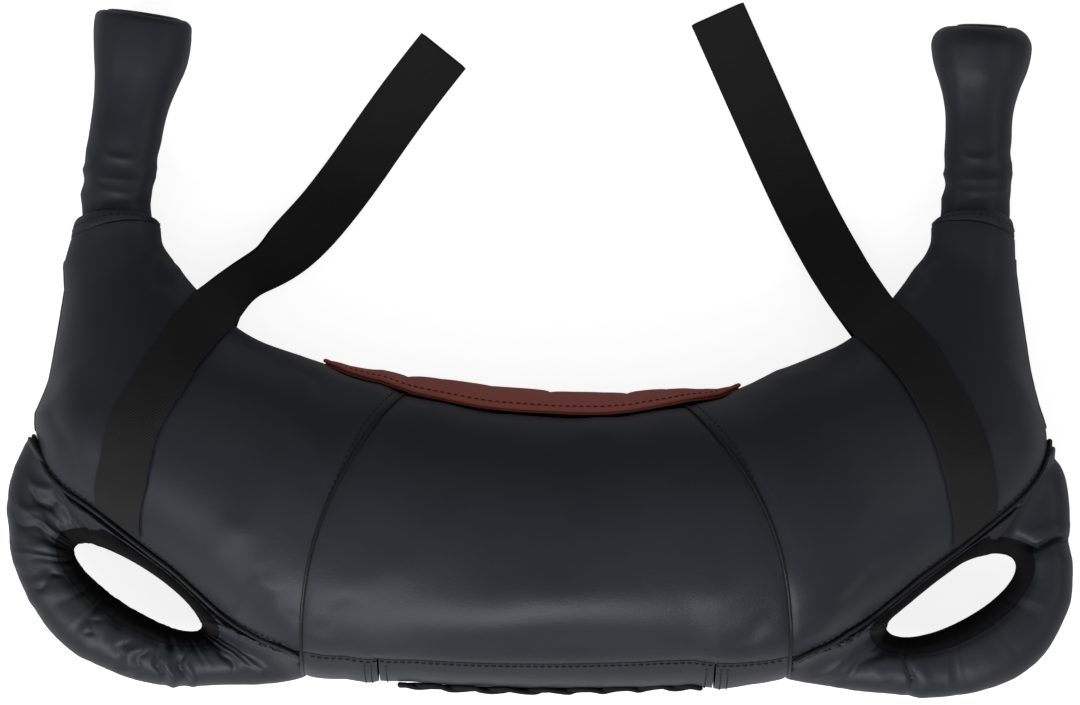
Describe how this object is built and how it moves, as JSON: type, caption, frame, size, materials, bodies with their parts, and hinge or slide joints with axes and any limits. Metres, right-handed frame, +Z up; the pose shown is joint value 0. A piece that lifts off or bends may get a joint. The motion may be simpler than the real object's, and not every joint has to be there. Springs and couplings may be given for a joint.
{
  "type": "weighted training bag",
  "caption": "Crescent-shaped sand-filled training bag with padded neck rest, horn grips, stuffed hand loops, webbing straps and a laced filling slit.",
  "frame": {"origin": "middle of the flat patch of the back panel on which the belly of the bag rests", "axes": "+Z up from the floor towards the front face, +Y from the belly towards the horn grips, +X across the crescent"},
  "size_m": [0.648, 0.4352, 0.165],
  "materials": {
    "leather": "satin grained",
    "neck_leather": "satin grained",
    "webbing": "matt ribbed",
    "lining": "matt brushed",
    "lace": "matt braided",
    "stuffing": "matt",
    "sand_sack": "matt woven"
  },
  "bodies": {
    "bag": {"front_center_panel": "leather", "front_left_panel": "leather", "front_right_panel": "leather", "back_center_panel": "leather", "back_left_panel": "leather", "back_right_panel": "leather", "bottom_left_strip": "leather", "bottom_right_strip": "leather", "closure_front_flap": "leather", "closure_back_flap": "leather", "closure_lace": "lace", "left_end_wall": "leather", "right_end_wall": "leather", "left_front_seam_welt": "leather", "right_front_seam_welt": "leather", "left_corner_front_piping": "leather", "right_corner_front_piping": "leather", "left_corner_back_piping": "leather", "right_corner_back_piping": "leather", "left_edge_welt": "leather", "right_edge_welt": "leather", "neck_pad": "neck_leather", "neck_pad_front_welt": "neck_leather", "neck_pad_back_welt": "neck_leather", "left_collar_hem": "leather", "right_collar_hem": "leather", "left_hand_loop_cover": "leather", "right_hand_loop_cover": "leather", "left_hand_loop_lining": "lining", "right_hand_loop_lining": "lining", "left_hand_loop_core": "stuffing", "right_hand_loop_core": "stuffing", "left_strap_front_leg": "webbing", "right_strap_front_leg": "webbing", "left_strap_back_leg": "webbing", "right_strap_back_leg": "webbing", "center_sand_sack": "sand_sack", "left_sand_sack": "sand_sack", "right_sand_sack": "sand_sack"},
    "left_grip": {"left_grip_sleeve": "leather", "left_grip_core": "stuffing", "left_grip_end_cap": "leather"},
    "right_grip": {"right_grip_sleeve": "leather", "right_grip_core": "stuffing", "right_grip_end_cap": "leather"},
    "left_strap": {"left_strap_loop": "webbing"},
    "right_strap": {"right_strap_loop": "webbing"}
  },
  "joints": [
    {"name": "left_grip_flex", "type": "hinge", "parent": "bag", "child": "left_grip", "pos_m": [-0.26195, 0.19114, 0.0304], "axis": [0.989, -0.1478, 0], "range_deg": [0, 20], "stiffness_Nm_per_rad": 4},
    {"name": "right_grip_flex", "type": "hinge", "parent": "bag", "child": "right_grip", "pos_m": [0.26195, 0.19114, 0.0304], "axis": [0.9993, -0.0384, 0], "range_deg": [0, 20], "stiffness_Nm_per_rad": 4},
    {"name": "left_strap_swing", "type": "hinge", "parent": "bag", "child": "left_strap", "pos_m": [-0.19644, 0.13627, 0.04561], "axis": [0.7197, -0.6943, 0], "range_deg": [0, 120]},
    {"name": "right_strap_swing", "type": "hinge", "parent": "bag", "child": "right_strap", "pos_m": [0.19644, 0.13627, 0.04561], "axis": [0.7197, 0.6943, 0], "range_deg": [0, 120]}
  ]
}
